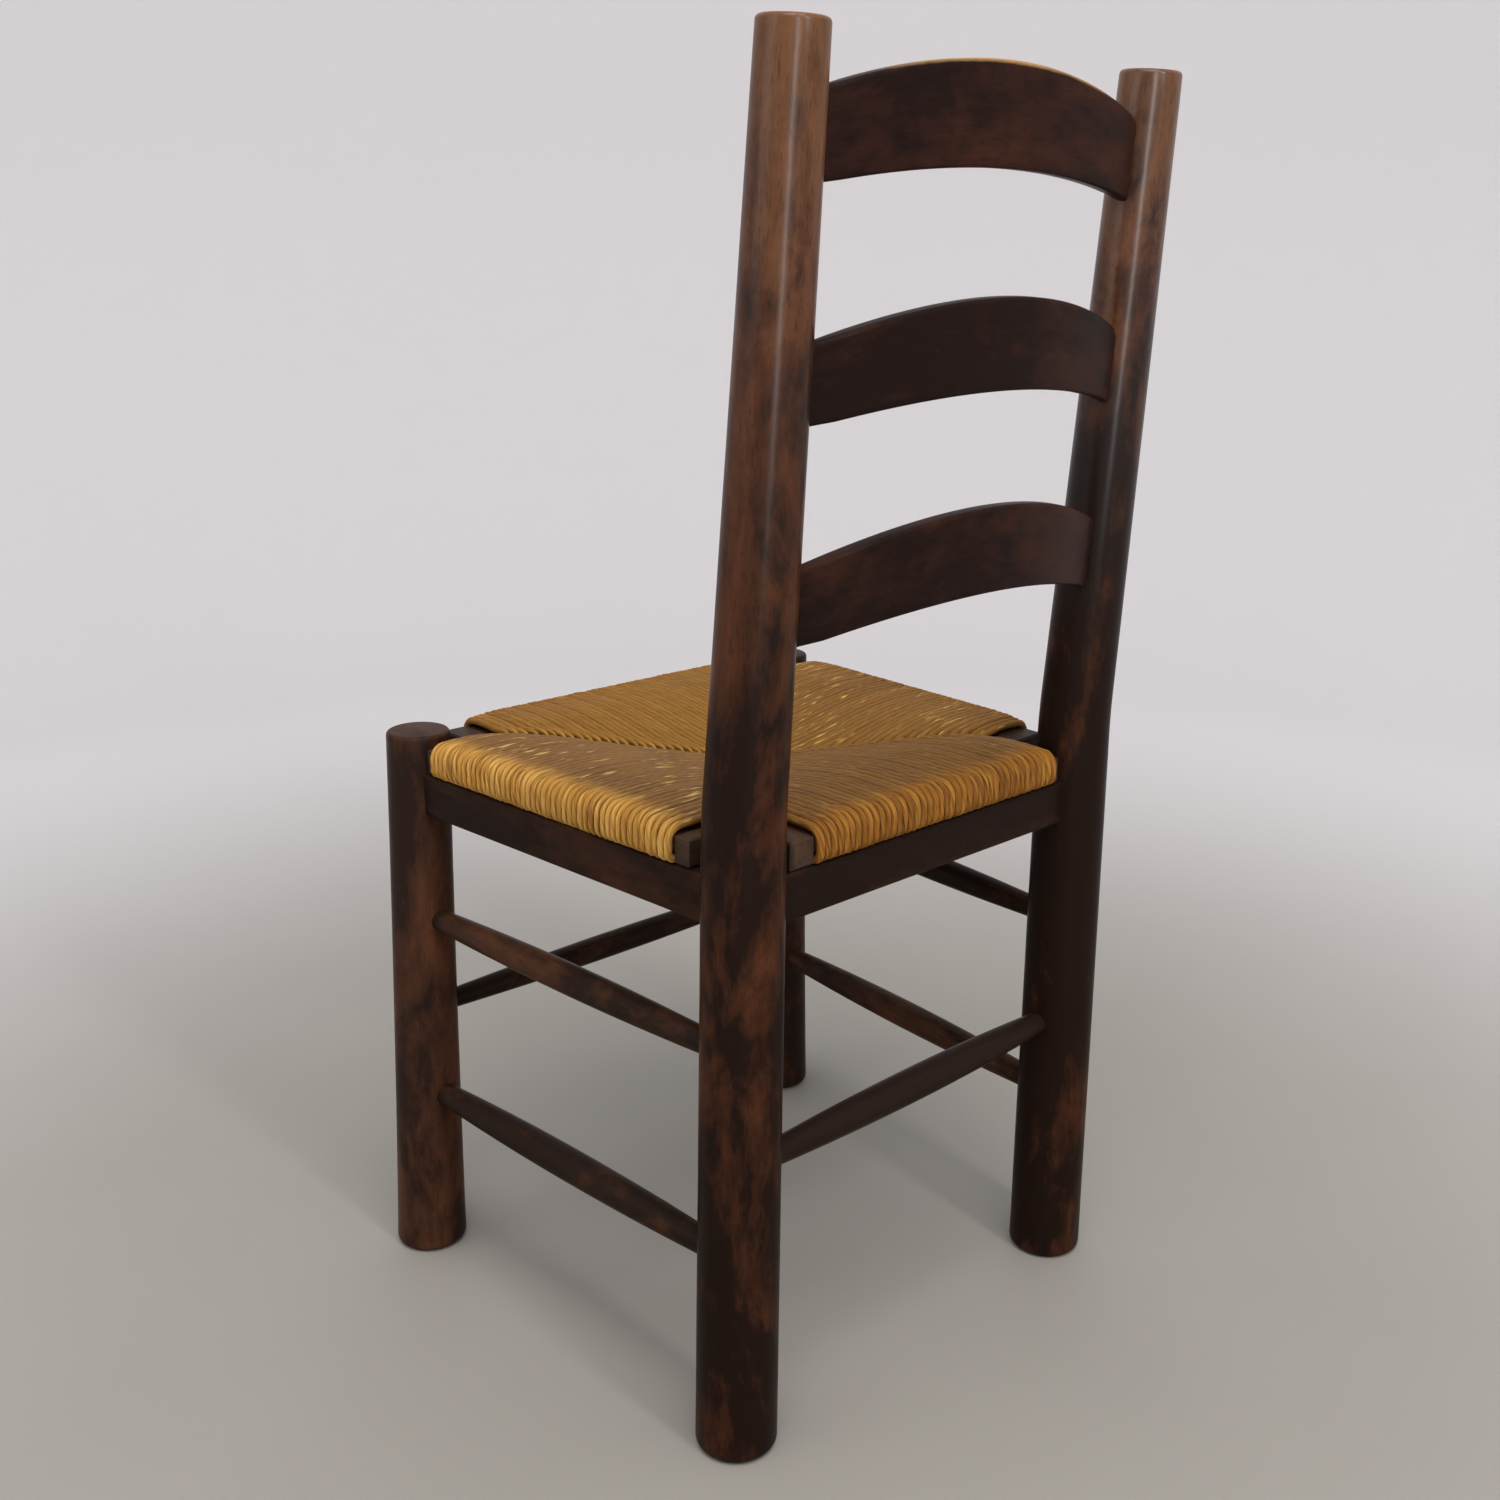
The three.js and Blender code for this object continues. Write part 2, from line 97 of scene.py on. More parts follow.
def spun(profile, segments):
    """A bmesh turned about Z from (radius, height) points."""
    bm = bmesh.new()
    points = [bm.verts.new((radius, 0, height)) for radius, height in profile]
    edges = [bm.edges.new(pair) for pair in zip(points, points[1:])]
    bmesh.ops.spin(bm, geom=points + edges, axis=(0, 0, 1), cent=(0, 0, 0),
                   angle=2 * math.pi, steps=segments, use_merge=True)
    bmesh.ops.remove_doubles(bm, verts=bm.verts, dist=MERGE_DISTANCE)
    return bm


def new_material(name):
    """A material with its Principled shader and a function that adds a wired node."""
    material = bpy.data.materials.new(name)
    material.use_nodes = True
    tree = material.node_tree
    return material, tree, tree.nodes["Principled BSDF"], node_maker(tree)


def node_maker(tree):
    """Adds a node to a tree: settings by name, then its inputs by name or number."""
    def add(kind, inputs=None, **settings):
        node = tree.nodes.new(kind)
        for key, value in settings.items():
            setattr(node, key, value)
        for key, value in (inputs or {}).items():
            if isinstance(value, bpy.types.NodeSocket):
                tree.links.new(value, node.inputs[key])
            else:
                node.inputs[key].default_value = value
        return node
    return add


floor_profile = [(0, 0), (FLOOR_RADIUS, 0)]
for step in range(1, SWEEP_STEPS + 1):
    turn = math.radians(90 * step / SWEEP_STEPS)
    floor_profile.append((FLOOR_RADIUS + SWEEP_RADIUS * math.sin(turn),
                          SWEEP_RADIUS * (1 - math.cos(turn))))
floor_profile.append((FLOOR_RADIUS + SWEEP_RADIUS, WALL_HEIGHT))
floor = link(spun(floor_profile, FLOOR_SEGMENTS), "floor")
floor_paint, tree, shader, add = new_material("pale_floor_paint")
place = add("ShaderNodeTexCoord").outputs["Object"]
clouds = add("ShaderNodeTexNoise", {"Vector": place, "Scale": 1.6, "Detail": 4.0}).outputs["Fac"]
tone = add("ShaderNodeMix", {0: clouds, 6: FLOOR_TONES[0], 7: FLOOR_TONES[1]}, data_type="RGBA")
away = add("ShaderNodeVectorMath", {0: place}, operation="LENGTH").outputs["Value"]
paling = add("ShaderNodeMapRange", {"Value": away, "From Min": SHADED_RADIUS, "From Max": PALE_RADIUS},
             interpolation_type="SMOOTHSTEP").outputs[0]
painted = add("ShaderNodeMix", {0: paling, 6: tone.outputs[2], 7: WALL_TONE}, data_type="RGBA")
tree.links.new(painted.outputs[2], shader.inputs["Base Color"])
shader.inputs["Roughness"].default_value = 0.62
floor.data.materials.append(floor_paint)

scene.world = bpy.data.worlds.new("room")
scene.world.use_nodes = True
scene.world.node_tree.nodes["Background"].inputs["Color"].default_value = (0.95, 0.97, 1.0, 1)
scene.world.node_tree.nodes["Background"].inputs["Strength"].default_value = 0.85
scene.view_settings.view_transform = "Standard"


def lamp(name, place, aim, width, height, watts, colour):
    """A soft rectangular lamp that points at aim."""
    light = bpy.data.lights.new(name, "AREA")
    light.shape = "RECTANGLE"
    light.size = width
    light.size_y = height
    light.energy = watts
    light.color = colour
    made = bpy.data.objects.new(name, light)
    made.location = place
    made.rotation_mode = "QUATERNION"
    made.rotation_quaternion = (Vector(aim) - Vector(place)).to_track_quat("-Z", "Y")
    made.visible_camera = False
    scene.collection.objects.link(made)
    return made


lamp("overhead_lamp", (0.6, 0.9, 2.7), (0, 0, 0.45), 1.5, 1.5, 42, (1, 0.98, 0.95))
lamp("side_lamp", (0.15, 2.5, 1.9), (0, 0, 0.6), 0.30, 1.3, 24, (1, 1, 1))
strip = lamp("strip_lamp", (1.30, 2.28, 1.0), (0, 0, 1.0), 0.20, 1.9, 26, (1, 1, 1))
strip.visible_diffuse = False
lamp("fill_lamp", (2.4, -0.6, 1.4), (0, 0, 0.5), 1.4, 1.4, 10, (0.95, 0.97, 1))

# ------------------------------------------------------------------ stained wood
# Every wooden piece is beech under a dark brown stain and a thin varnish. The stain
# lies in blotches, thinner where hands rub it, over fine pores that run along the piece.
STAIN_SPECULAR = 0.025
VARNISH_ROUGHNESS = 0.26
VARNISH_IOR = 1.4
GRAIN_BUMP = 0.14
GRAIN_DEPTH = 0.0006
POLISHED_FROM = 0.45
POLISHED_TO = 0.92


def group_sockets(group, inputs, outputs):
    """Named inputs with defaults and named outputs on a shader node group."""
    for name, kind, value in inputs:
        socket = group.interface.new_socket(name, in_out="INPUT", socket_type=f"NodeSocket{kind}")
        if value is not None:
            socket.default_value = value
    for name, kind in outputs:
        group.interface.new_socket(name, in_out="OUTPUT", socket_type=f"NodeSocket{kind}")


stain = bpy.data.node_groups.new("stained_beech", "ShaderNodeTree")
group_sockets(
    stain,
    [("Timber", "Vector", None), ("Rub", "Float", 0.0), ("Thin", "Float", 0.5),
     ("Dark", "Color", (0.010, 0.006, 0.005, 1)), ("Warm", "Color", (0.07, 0.022, 0.010, 1)),
     ("Bare", "Color", (0.25, 0.12, 0.05, 1)), ("Blotch size", "Float", 16.0)],
    [("Color", "Color"), ("Roughness", "Float"), ("Height", "Float")])
add = node_maker(stain)
given = add("NodeGroupInput").outputs
stretched = add("ShaderNodeVectorMath", {0: given["Timber"], 1: (1, 1, 0.42)},
                operation="MULTIPLY").outputs[0]
blotches = add("ShaderNodeTexNoise", {"Vector": stretched, "Scale": given["Blotch size"], "Detail": 7.0,
                                      "Roughness": 0.62, "Distortion": 0.6}).outputs["Fac"]
fine = add("ShaderNodeTexNoise", {"Vector": stretched, "Scale": 95.0, "Detail": 4.0,
                                  "Roughness": 0.7}).outputs["Fac"]
fibre_place = add("ShaderNodeVectorMath", {0: given["Timber"], 1: (1, 1, 0.045)},
                  operation="MULTIPLY").outputs[0]
fibres = add("ShaderNodeTexNoise", {"Vector": fibre_place, "Scale": 620.0, "Detail": 3.0,
                                    "Roughness": 0.6}).outputs["Fac"]
pore_place = add("ShaderNodeVectorMath", {0: given["Timber"], 1: (1, 1, 0.12)},
                 operation="MULTIPLY").outputs[0]
pores = add("ShaderNodeTexNoise", {"Vector": pore_place, "Scale": 900.0, "Detail": 1.0}).outputs["Fac"]
pits = add("ShaderNodeMapRange", {"Value": pores, "From Min": 0.62, "From Max": 0.72}).outputs[0]
ragged = add("ShaderNodeMath", {0: fine, 1: 0.34, 2: blotches}, operation="MULTIPLY_ADD").outputs[0]
worn_to = add("ShaderNodeMath", {0: given["Thin"], 1: 0.42, 2: ragged}, operation="MULTIPLY_ADD").outputs[0]
thin = add("ShaderNodeMapRange", {"Value": worn_to, "From Min": 0.80, "From Max": 1.02}).outputs[0]
streaky = add("ShaderNodeMath", {0: fibres, 1: 0.5, 2: 0.75}, operation="MULTIPLY_ADD").outputs[0]
stained = add("ShaderNodeMix", {0: thin, 6: given["Dark"], 7: given["Warm"]}, data_type="RGBA").outputs[2]
rub_to = add("ShaderNodeMath", {0: ragged, 1: 0.9, 2: given["Rub"]}, operation="MULTIPLY_ADD").outputs[0]
rubbed = add("ShaderNodeMapRange", {"Value": rub_to, "From Min": 1.08, "From Max": 1.46}).outputs[0]
laid = add("ShaderNodeMix", {0: rubbed, 6: stained, 7: given["Bare"]}, data_type="RGBA").outputs[2]
grained = add("ShaderNodeVectorMath", {0: laid, 3: streaky}, operation="SCALE").outputs[0]
half_pits = add("ShaderNodeMath", {0: pits, 1: 0.5}, operation="MULTIPLY").outputs[0]
pitted = add("ShaderNodeMix", {0: half_pits, 6: grained, 7: given["Dark"]}, data_type="RGBA").outputs[2]
dull = add("ShaderNodeMapRange", {"Value": fine, "From Min": 0.3, "From Max": 0.75, "To Min": 0.28,
                                  "To Max": 0.44}).outputs[0]
rough = add("ShaderNodeMath", {0: rubbed, 1: 0.10, 2: dull}, operation="MULTIPLY_ADD").outputs[0]
ripple = add("ShaderNodeMath", {0: blotches, 1: 0.8, 2: fibres}, operation="MULTIPLY_ADD").outputs[0]
height = add("ShaderNodeMath", {0: ripple, 1: half_pits}, operation="SUBTRACT").outputs[0]
add("NodeGroupOutput", {"Color": pitted, "Roughness": rough, "Height": height})


def stained_wood(name, dark, warm, bare, blotch, thin, shine, height_thin=None, handled_shine=0.0):
    """A varnished stained finish. With height_thin, a pair of heights and an amount, the stain
    thins out between them and the varnish shines more towards the top."""
    material, tree, shader, add = new_material(name)
    timber = add("ShaderNodeAttribute", attribute_name="timber").outputs["Vector"]
    rub = add("ShaderNodeAttribute", attribute_name="rub").outputs["Fac"]
    finish = add("ShaderNodeGroup", {"Timber": timber, "Rub": rub, "Thin": thin, "Blotch size": blotch,
                                     "Dark": (*dark, 1), "Warm": (*warm, 1), "Bare": (*bare, 1)},
                 node_tree=stain)
    if height_thin:
        place = add("ShaderNodeTexCoord").outputs["Object"]
        up = add("ShaderNodeSeparateXYZ", {0: place}).outputs["Z"]
        low, high, amount = height_thin
        rise = add("ShaderNodeMapRange", {"Value": up, "From Min": low, "From Max": high, "To Min": thin,
                                          "To Max": thin + amount}, interpolation_type="SMOOTHSTEP")
        tree.links.new(rise.outputs[0], finish.inputs["Thin"])
        polish = add("ShaderNodeMapRange", {"Value": up, "From Min": POLISHED_FROM, "From Max": POLISHED_TO,
                                            "To Min": shine, "To Max": handled_shine},
                     interpolation_type="SMOOTHSTEP")
        tree.links.new(polish.outputs[0], shader.inputs["Coat Weight"])
    tree.links.new(finish.outputs["Color"], shader.inputs["Base Color"])
    tree.links.new(finish.outputs["Roughness"], shader.inputs["Roughness"])
    bump = add("ShaderNodeBump", {"Height": finish.outputs["Height"], "Strength": GRAIN_BUMP,
                                  "Distance": GRAIN_DEPTH})
    tree.links.new(bump.outputs["Normal"], shader.inputs["Normal"])
    shader.inputs["Specular IOR Level"].default_value = STAIN_SPECULAR
    if not height_thin:
        shader.inputs["Coat Weight"].default_value = shine
    shader.inputs["Coat Roughness"].default_value = VARNISH_ROUGHNESS
    shader.inputs["Coat IOR"].default_value = VARNISH_IOR
    return material


def mark_timber(bm, seed):
    """Keeps each vertex's own place on the straight piece, with a start of its own in the wood."""
    layer = bm.verts.layers.float_vector.new("timber")
    start = Vector((seed * 0.731 % 3, seed * 1.417 % 3, seed * 2.113 % 3))
    for vert in bm.verts:
        vert[layer] = vert.co + start


def turn_timber(bm):
    """Lets the grain of a piece that was sawn along X run along X."""
    layer = bm.verts.layers.float_vector["timber"]
    for vert in bm.verts:
        vert[layer] = vert[layer].zyx


def mark_rub(bm, amount):
    """Keeps how far hands and cloth have rubbed each vertex, from 0 to 1."""
    layer = bm.verts.layers.float.new("rub")
    for vert in bm.verts:
        vert[layer] = amount(vert.co)


# ------------------------------------------------------------------ rear posts
# Two round beech posts, turned thinner towards the top and steam bent just above the seat,
# so that the back leans. Their upper ends are rubbed paler where the chair is lifted.
POST_HEIGHT = 0.940
POST_FOOT_RADIUS = 0.0297
POST_BEND_RADIUS = 0.0278
POST_TOP_RADIUS = 0.0213
BEND_HEIGHT = 0.460
BEND_CURVE = 0.500
BACK_LEAN = math.radians(3.9)
REAR_POST_INWARD = 0.0122
FOOT_ROUNDING = 0.006
TOP_ROUNDING = 0.0032
TURNED_SEGMENTS = 64
TURNED_WEAR = 0.00025
POST_RUBBED_FROM = 0.46
POST_RUBBED_OVER = 0.48
POST_RUB = 0.66
# How thin the stain lies low down, then the heights between which it thins out and by how much.
POST_THINNESS = {"left": 0.36, "right": 0.20}
POST_THINNING = {"left": (0.36, 0.74, 0.25), "right": (0.58, 0.86, 0.44)}
POST_SHINE = {"left": 0.50, "right": 0.80}

mounts = {mount["name"]: Vector(mount["pos_m"]) for mount in frame["record"]["mounts"]}
bend_length = BEND_CURVE * BACK_LEAN
bend_top = BEND_HEIGHT + BEND_CURVE * math.sin(BACK_LEAN)
post_length = BEND_HEIGHT + bend_length + (POST_HEIGHT - bend_top) / math.cos(BACK_LEAN)


def post_radius(length):
    """Radius of a rear post at a length along it from the floor."""
    if length < BEND_HEIGHT:
        return POST_FOOT_RADIUS + (POST_BEND_RADIUS - POST_FOOT_RADIUS) * length / BEND_HEIGHT
    above = (length - BEND_HEIGHT) / (post_length - BEND_HEIGHT)
    return POST_BEND_RADIUS + (POST_TOP_RADIUS - POST_BEND_RADIUS) * above


def turned_profile(length, radius_at, foot_rounding, top_rounding, steps):
    """Radius and height points of a turned shaft with rounded ends."""
    points = [(0, 0)]
    for step in range(6):
        turn = math.radians(90 * step / 5)
        points.append((radius_at(0) - foot_rounding * (1 - math.sin(turn)),
                       foot_rounding * (1 - math.cos(turn))))
    for step in range(1, steps):
        height = foot_rounding + (length - foot_rounding - top_rounding) * step / steps
        points.append((radius_at(height), height))
    for step in range(7):
        turn = math.radians(90 * step / 6)
        points.append((radius_at(length) - top_rounding * (1 - math.cos(turn)),
                       length - top_rounding * (1 - math.sin(turn))))
    points.append((0, length))
    return points


def hand_worn(bm, seed, depth):
    """Presses the surface in by tiny uneven amounts, as scraping and use leave it."""
    for vert in bm.verts:
        flat = Vector((vert.co.x, vert.co.y, 0))
        if flat.length > 1e-6:
            dent = noise.noise(Vector((vert.co.x * 22, vert.co.y * 22, vert.co.z * 9 + seed)))
            vert.co -= flat.normalized() * depth * (0.5 + 0.5 * dent)


def bend_back(co):
    """Bends a straight post: upright, then an arc, then straight and leaning back."""
    if co.z > BEND_HEIGHT:
        angle = min((co.z - BEND_HEIGHT) / BEND_CURVE, BACK_LEAN)
        beyond = max(0.0, co.z - BEND_HEIGHT - bend_length)
        reach = BEND_CURVE - co.y
        co.y = BEND_CURVE - reach * math.cos(angle) + beyond * math.sin(angle)
        co.z = BEND_HEIGHT + reach * math.sin(angle) + beyond * math.cos(angle)


for side, word, seed in ((1, "left", 3), (-1, "right", 8)):
    post_finish = stained_wood(f"post_stain_{word}", dark=(0.0130, 0.0066, 0.0045),
                               warm=(0.074, 0.0255, 0.0105), bare=(0.155, 0.070, 0.028), blotch=17,
                               thin=POST_THINNESS[word], shine=0.035,
                               height_thin=POST_THINNING[word], handled_shine=POST_SHINE[word])
    bm = spun(turned_profile(post_length, post_radius, FOOT_ROUNDING, TOP_ROUNDING, 70), TURNED_SEGMENTS)
    mark_timber(bm, seed)
    mark_rub(bm, lambda co: max(0.0, min(1.0, (co.z - POST_RUBBED_FROM) / POST_RUBBED_OVER)) * POST_RUB)
    hand_worn(bm, seed, TURNED_WEAR)
    foot = mounts[f"foot_rear_{word}"]
    for vert in bm.verts:
        bend_back(vert.co)
        vert.co.x -= side * REAR_POST_INWARD * vert.co.z
        vert.co += foot
    post = link(bm, f"turned_rear_post_{word}")
    post.data.materials.append(post_finish)
    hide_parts(f"rear_post_{word}")
    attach(post, "frame")

# ------------------------------------------------------------------ front legs
# Two shorter turned legs of the same wood, thicker at the foot and splayed a little
# outwards and forwards. Their rounded tops stand 30 mm above the aprons.
LEG_HEIGHT = 0.460
LEG_FOOT_RADIUS = 0.0295
LEG_TOP_RADIUS = 0.025
FRONT_LEG_INWARD = 0.0226
FRONT_LEG_BACKWARD = 0.0181
LEG_TOP_RUB = 0.35
LEG_FOOT_RUB = 0.3


def leg_radius(length):
    """Radius of a front leg at a height above the floor."""
    from_top = 1 - min(1, length / LEG_HEIGHT)
    return LEG_TOP_RADIUS + (LEG_FOOT_RADIUS - LEG_TOP_RADIUS) * from_top ** 2


leg_finish = stained_wood("leg_stain", dark=(0.021, 0.0112, 0.0082), warm=(0.084, 0.0325, 0.0158),
                          bare=(0.14, 0.07, 0.03), blotch=15, thin=0.42, shine=0.05)
for side, word, seed in ((1, "left", 5), (-1, "right", 11)):
    bm = spun(turned_profile(LEG_HEIGHT, leg_radius, FOOT_ROUNDING, TOP_ROUNDING, 40), TURNED_SEGMENTS)
    mark_timber(bm, seed)
    mark_rub(bm, lambda co: LEG_TOP_RUB * (co.z > LEG_HEIGHT - 0.003) + LEG_FOOT_RUB * (co.z < 0.004))
    hand_worn(bm, seed, TURNED_WEAR)
    foot = mounts[f"foot_front_{word}"]
    for vert in bm.verts:
        vert.co.x -= side * FRONT_LEG_INWARD * vert.co.z
        vert.co.y += FRONT_LEG_BACKWARD * vert.co.z
        vert.co += foot
    leg = link(bm, f"turned_front_leg_{word}")
    leg.data.materials.append(leg_finish)
    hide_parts(f"front_leg_{word}")
    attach(leg, "frame")

# ------------------------------------------------------------------ back slats
# Three arched boards, bent backwards and let into the posts. The back of each is pared
# thinner just before its post. Their long edges are rubbed down to the pale wood.
SLAT_THICKNESS = 0.012
SLAT_EDGE = 0.0025
SLAT_SHORT_OF_AXIS = 0.006
SLAT_PARED_LENGTH = 0.013
SLAT_PARED_DEPTH = 0.0035
SLAT_UNDER_RUB = 0.30
SLAT_CUTS_UP = (-0.36, -0.2, 0, 0.2, 0.36)
BOARD_WEAR = 0.0002
# Name, height of its lower corner, height of its end, rise of its upper edge and of its lower edge
# in the middle, bow backwards, and rub of its upper edge.
SLATS = (
    ("top", 0.851, 0.048, 0.0325, 0.019, 0.016, 0.95),
    ("middle", 0.714, 0.046, 0.036, 0.024, 0.033, 0.30),
    ("bottom", 0.577, 0.048, 0.040, 0.030, 0.036, 0.25),
)


def upright(front_or_rear, side, z):
    """Centre of a post or leg at a height."""
    foot = mounts[f"foot_{front_or_rear}_{'left' if side > 0 else 'right'}"]
    if front_or_rear == "rear":
        return foot + Vector((-side * REAR_POST_INWARD * z, 0, z))
    return foot + Vector((-side * FRONT_LEG_INWARD * z, FRONT_LEG_BACKWARD * z, z))


def plank(length, thickness, height, edge, cuts_along, cuts_up):
    """A board along X with rounded edges, cut across at the given places."""
    bm = bmesh.new()
    bmesh.ops.create_cube(bm, size=1)
    bmesh.ops.scale(bm, vec=(length, thickness, height), verts=bm.verts)
    bmesh.ops.bevel(bm, geom=bm.edges[:], offset=edge, offset_type="OFFSET", segments=4, profile=0.5,
                    affect="EDGES", material=-1)
    for axis, places in ((0, cuts_along), (2, cuts_up)):
        for place in places:
            normal = Vector((0, 0, 0))
            normal[axis] = 1
            bmesh.ops.bisect_plane(bm, geom=bm.verts[:] + bm.edges[:] + bm.faces[:], dist=1e-7,
                                   plane_co=normal * place, plane_no=normal)
    return bm


slat_finish = stained_wood("slat_stain", dark=(0.0125, 0.0066, 0.0054), warm=(0.043, 0.0150, 0.0088),
                           bare=(0.29, 0.165, 0.062), blotch=9, thin=0.32, shine=0.022)
for number, (word, corner, end, rises_top, rises_bottom, bow, rub_top) in enumerate(SLATS):
    half_span = upright("rear", 1, corner + end / 2).x
    shoulder = half_span - post_radius(corner + end / 2)
    pared_from = shoulder - SLAT_PARED_LENGTH
    length = 2 * (half_span - SLAT_SHORT_OF_AXIS)
    across = [pared_from * step / 16 for step in range(-16, 17)] + [-shoulder, shoulder]
    bm = plank(length, SLAT_THICKNESS, end, SLAT_EDGE, across, [end * share for share in SLAT_CUTS_UP])
    mark_timber(bm, 20 + number)
    turn_timber(bm)
    mark_rub(bm, lambda co: max(0.0, min(1.0, (abs(co.z) - end * 0.42) / (end * 0.08)))
             * (rub_top if co.z > 0 else SLAT_UNDER_RUB) * (1 - 0.8 * min(1, abs(co.x) / shoulder) ** 2))
    lean = Matrix.Rotation(-BACK_LEAN, 3, "X")
    base = Vector((0, mounts["foot_rear_left"].y + (corner - BEND_HEIGHT) * math.tan(BACK_LEAN), corner))
    for vert in bm.verts:
        co = vert.co
        wave = noise.noise(Vector((co.x * 8, co.z * 9, number * 5.3)))
        co.y -= BOARD_WEAR * (0.5 + 0.5 * wave) * (1 if co.y > 0 else -1)
        if co.y > 0:
            co.y -= SLAT_PARED_DEPTH * max(0.0, min(1.0, (abs(co.x) - pared_from) / SLAT_PARED_LENGTH))
        arch = 1 - (co.x / half_span) ** 2
        up = (co.z + end / 2) / end
        co.z = up * (end + rises_top * arch) + (1 - up) * rises_bottom * arch
        co.y += bow * arch
        vert.co = lean @ co + base
    slat = link(bm, f"bent_back_slat_{word}")
    slat.data.materials.append(slat_finish)
    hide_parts(f"back_slat_{word}")
    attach(slat, "frame")

# ------------------------------------------------------------------ seat aprons
# Four flat sawn rails, tenoned into the posts and legs with their whole section let in
# a little. The drop-in seat rests on their upper edges.
APRON_TOP = 0.430
APRON_HEIGHT = 0.034
APRON_THICKNESS = 0.022
APRON_EDGE = 0.0018
APRON_HOUSED = 0.002
APRON_RUB = 0.42
APRON_CUTS_UP = (-0.012, -0.006, 0, 0.006, 0.012)

apron_finish = stained_wood("apron_stain", dark=(0.0135, 0.0070, 0.0048), warm=(0.045, 0.018, 0.009),
                            bare=(0.15, 0.085, 0.04), blotch=9, thin=0.36, shine=0.02)


def lay_between(bm, start, end, radius_start, radius_end):
    """Turns a piece made along X to run between two uprights, centred between their surfaces."""
    along = (end - start).normalized()
    middle = (start + along * radius_start + end - along * radius_end) / 2
    turn = Matrix.Rotation(math.atan2(along.y, along.x), 3, "Z")
    for vert in bm.verts:
        vert.co = turn @ vert.co + middle


apron_middle = APRON_TOP - APRON_HEIGHT / 2
post_here = post_radius(apron_middle)
leg_here = leg_radius(apron_middle)
# Name, the uprights it starts and ends at, their radii there, and its own place in the wood.
APRONS = (
    ("left", ("front", 1), ("rear", 1), leg_here, post_here, 31),
    ("right", ("front", -1), ("rear", -1), leg_here, post_here, 32),
    ("front", ("front", -1), ("front", 1), leg_here, leg_here, 33),
    ("rear", ("rear", -1), ("rear", 1), post_here, post_here, 34),
)
for word, start_at, end_at, start_radius, end_radius, seed in APRONS:
    start = upright(*start_at, apron_middle)
    end = upright(*end_at, apron_middle)
    let_in = [math.sqrt(radius ** 2 - (APRON_THICKNESS / 2) ** 2) - APRON_HOUSED
              for radius in (start_radius, end_radius)]
    length = (end - start).length - sum(let_in)
    bm = plank(length, APRON_THICKNESS, APRON_HEIGHT, APRON_EDGE,
               [length * step / 20 for step in range(-9, 10)], APRON_CUTS_UP)
    mark_timber(bm, seed)
    turn_timber(bm)
    mark_rub(bm, lambda co: APRON_RUB * max(0.0, min(1.0, (abs(co.z) - 0.012) / 0.005)))
    for vert in bm.verts:
        wave = noise.noise(Vector((vert.co.x * 11, vert.co.z * 16, seed)))
        vert.co.y -= BOARD_WEAR * (0.5 + 0.5 * wave) * (1 if vert.co.y > 0 else -1)
    lay_between(bm, start, end, *let_in)
    apron = link(bm, f"sawn_apron_{word}")
    apron.data.materials.append(apron_finish)
    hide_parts(f"apron_{word}")
    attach(apron, "frame")

# ------------------------------------------------------------------ stretchers
# Six turned rods that swell towards the middle and fit round holes in the posts and legs:
# two on each side, one in front and one behind.
STRETCHER_SHORT_OF_AXIS = 0.006
STRETCHER_SEGMENTS = 40
STRETCHER_RUB = 0.15
STRETCHER_WEAR = 0.0002
# Name, the uprights it joins, its height, radius in the middle and at its tenons, and its own
# place in the wood.
STRETCHERS = (
    ("left_upper", ("front", 1), ("rear", 1), 0.304, 0.0119, 0.0088, 41),
    ("left_lower", ("front", 1), ("rear", 1), 0.147, 0.0128, 0.0094, 42),
    ("right_upper", ("front", -1), ("rear", -1), 0.304, 0.0119, 0.0088, 43),
    ("right_lower", ("front", -1), ("rear", -1), 0.147, 0.0128, 0.0094, 44),
    ("front", ("front", -1), ("front", 1), 0.218, 0.0113, 0.0083, 45),
    ("rear", ("rear", -1), ("rear", 1), 0.219, 0.0127, 0.0090, 46),
)

stretcher_finish = stained_wood("stretcher_stain", dark=(0.017, 0.0095, 0.0066), warm=(0.075, 0.030, 0.014),
                                bare=(0.15, 0.085, 0.04), blotch=13, thin=0.38, shine=0.05)
for word, start_at, end_at, height, middle_radius, tenon_radius, seed in STRETCHERS:
    start = upright(*start_at, height)
    end = upright(*end_at, height)
    reach = (end - start).length / 2 - STRETCHER_SHORT_OF_AXIS
    radii = {"front": leg_radius(height), "rear": post_radius(height)}
    swelling = (end - start).length / 2 - min(radii[start_at[0]], radii[end_at[0]])
    profile = [(0, -reach), (tenon_radius, -reach)]
    for step in range(33):
        along = -1 + step / 16
        profile.append((middle_radius - (middle_radius - tenon_radius) * along ** 2, along * swelling))
    profile += [(tenon_radius, reach), (0, reach)]
    bm = spun(profile, STRETCHER_SEGMENTS)
    mark_timber(bm, seed)
    mark_rub(bm, lambda co: STRETCHER_RUB)
    hand_worn(bm, seed, STRETCHER_WEAR)
    bmesh.ops.rotate(bm, verts=bm.verts, cent=(0, 0, 0), matrix=Matrix.Rotation(math.pi / 2, 3, "Y"))
    lay_between(bm, start, end, 0, 0)
    rod = link(bm, f"turned_stretcher_{word}")
    rod.data.materials.append(stretcher_finish)
    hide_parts(f"stretcher_{word}")
    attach(rod, "frame")

